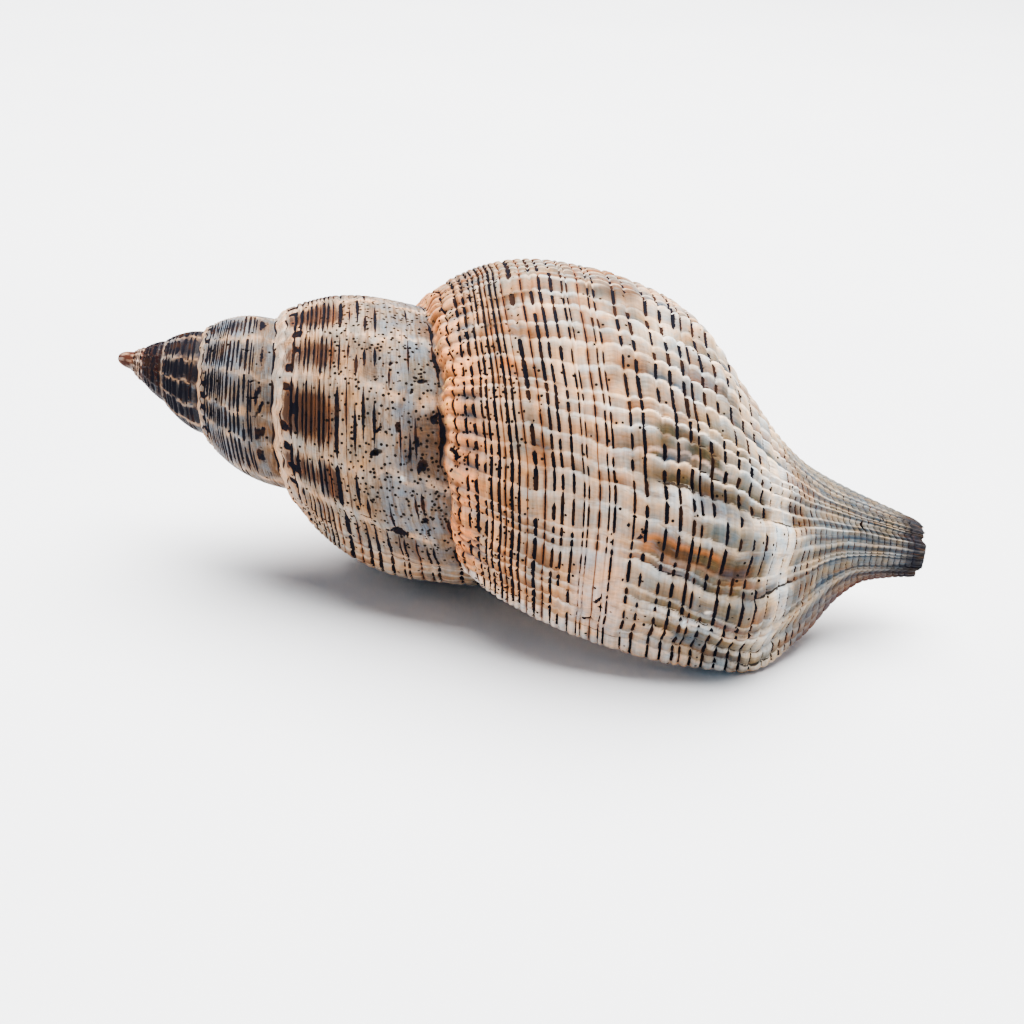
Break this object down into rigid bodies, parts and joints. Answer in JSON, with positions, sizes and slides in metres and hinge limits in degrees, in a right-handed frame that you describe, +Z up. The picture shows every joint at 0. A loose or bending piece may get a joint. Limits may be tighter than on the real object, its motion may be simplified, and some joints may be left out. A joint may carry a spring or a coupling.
{
  "type": "tulip shell",
  "caption": "Spiral seashell with a pointed spire, a wide mouth behind a thin outer lip and a half-open canal, lying mouth down.",
  "frame": {"origin": "on the surface the shell rests on, below the middle of its bounding box", "axes": "+X along the shell from the apex towards the canal, -Y towards the lip's edge, +Z up"},
  "size_m": [0.1236, 0.0564, 0.0502],
  "materials": {
    "shell": "weathered, satin, pale cream and peach with dark spiral lines"
  },
  "bodies": {
    "root": {"shell": "shell"}
  },
  "joints": []
}
